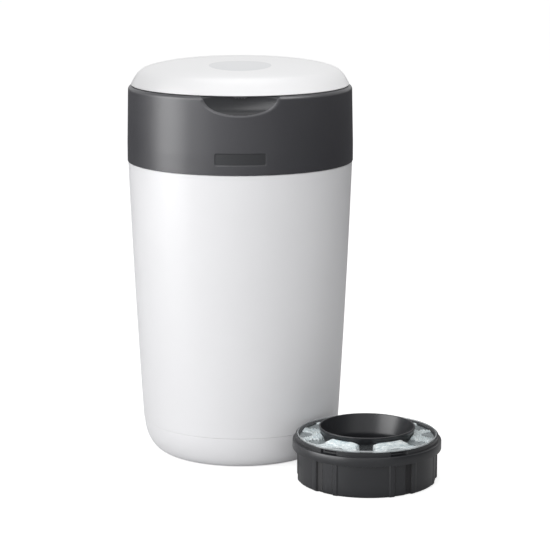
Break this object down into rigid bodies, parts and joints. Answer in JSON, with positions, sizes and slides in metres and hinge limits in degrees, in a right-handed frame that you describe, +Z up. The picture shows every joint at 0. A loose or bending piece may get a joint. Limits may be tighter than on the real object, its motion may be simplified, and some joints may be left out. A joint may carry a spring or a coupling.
{
  "type": "nappy bin",
  "caption": "Tall round nappy bin with a domed lid, a hinged head holding a twisting film cassette over sprung gripper arms, and a spare cassette beside it.",
  "frame": {"origin": "centre of the tub's flat underside, on the floor", "axes": "+Z up, front with the finger scoop towards -Y, the spare cassette towards +X and -Y"},
  "size_m": [0.3334, 0.3428, 0.4307],
  "materials": {
    "acetal_natural": "natural white acetal, slippery and slightly waxy",
    "band_charcoal": "satin moulded ABS, charcoal grey",
    "cassette_charcoal": "dark grey moulded polypropylene, slightly glossy",
    "cover_clear": "clear thermoformed sheet",
    "film_pale_blue": "thin pale blue translucent polyethylene film, folded in pleats",
    "lid_white": "smooth semi-gloss moulded polypropylene",
    "mechanism_dark": "plain moulded ABS, dark grey",
    "mechanism_grey": "plain moulded ABS, mid grey",
    "seal_rubber": "soft moulded rubber",
    "spring_steel": "spring wire",
    "steel": "plain drawn steel",
    "tub_white": "fine satin moulded polypropylene",
    "twist_ring_white": "semi-gloss moulded ABS"
  },
  "bodies": {
    "tub": {"tub": "tub_white", "head_hinge_pin": "steel"},
    "head": {"head_shell": "band_charcoal", "head_deck": "mechanism_grey", "head_base": "mechanism_dark", "click_pawls": "acetal_natural", "gripper_ring": "mechanism_grey", "gripper_pins": "steel", "gripper_springs": "spring_steel", "base_screws": "steel", "cutter_guard": "acetal_natural", "cutter_blade": "steel", "lid_hinge_pin": "steel"},
    "rotor": {"twist_ring": "twist_ring_white", "cassette_carrier": "mechanism_dark", "cassette_body": "cassette_charcoal", "cassette_cover": "cover_clear", "cassette_film": "film_pale_blue"},
    "arm_front": {"gripper_arm_front": "acetal_natural"},
    "arm_right": {"gripper_arm_right": "acetal_natural"},
    "arm_rear": {"gripper_arm_rear": "acetal_natural"},
    "arm_left": {"gripper_arm_left": "acetal_natural"},
    "lid": {"lid_shell": "lid_white", "lid_liner": "mechanism_grey", "lid_seal": "seal_rubber", "lid_catch": "band_charcoal"},
    "spare_cassette": {"spare_cassette_body": "cassette_charcoal", "spare_cassette_cover": "cover_clear", "spare_cassette_film": "film_pale_blue"}
  },
  "joints": [
    {"name": "head_hinge", "type": "hinge", "parent": "tub", "child": "head", "pos_m": [0, 0.1275, 0.3175], "axis": [-1, 0, 0], "range_deg": [0, 85]},
    {"name": "lid_hinge", "type": "hinge", "parent": "head", "child": "lid", "pos_m": [0, 0.1215, 0.4082], "axis": [-1, 0, 0], "range_deg": [0, 105]},
    {"name": "twist", "type": "hinge", "parent": "head", "child": "rotor", "pos_m": [0, 0, 0.363], "axis": [0, 0, -1], "continuous": true},
    {"name": "arm_right_hinge", "type": "hinge", "parent": "head", "child": "arm_right", "pos_m": [0.055, 0, 0.3168], "axis": [0, -1, 0], "range_deg": [0, 70], "stiffness_Nm_per_rad": 0.03, "springref_deg": -28.65},
    {"name": "arm_rear_hinge", "type": "hinge", "parent": "head", "child": "arm_rear", "pos_m": [0, 0.055, 0.3168], "axis": [1, 0, 0], "range_deg": [0, 70], "stiffness_Nm_per_rad": 0.03, "springref_deg": -28.65},
    {"name": "arm_left_hinge", "type": "hinge", "parent": "head", "child": "arm_left", "pos_m": [-0.055, 0, 0.3168], "axis": [0, 1, 0], "range_deg": [0, 70], "stiffness_Nm_per_rad": 0.03, "springref_deg": -28.65},
    {"name": "arm_front_hinge", "type": "hinge", "parent": "head", "child": "arm_front", "pos_m": [0, -0.055, 0.3168], "axis": [-1, 0, 0], "range_deg": [0, 70], "stiffness_Nm_per_rad": 0.03, "springref_deg": -28.65},
    {"name": "spare_lift", "type": "slide", "parent": "tub", "child": "spare_cassette", "axis": [0.0984, -0.0984, 0.9903], "range_m": [0, 0.15]}
  ]
}
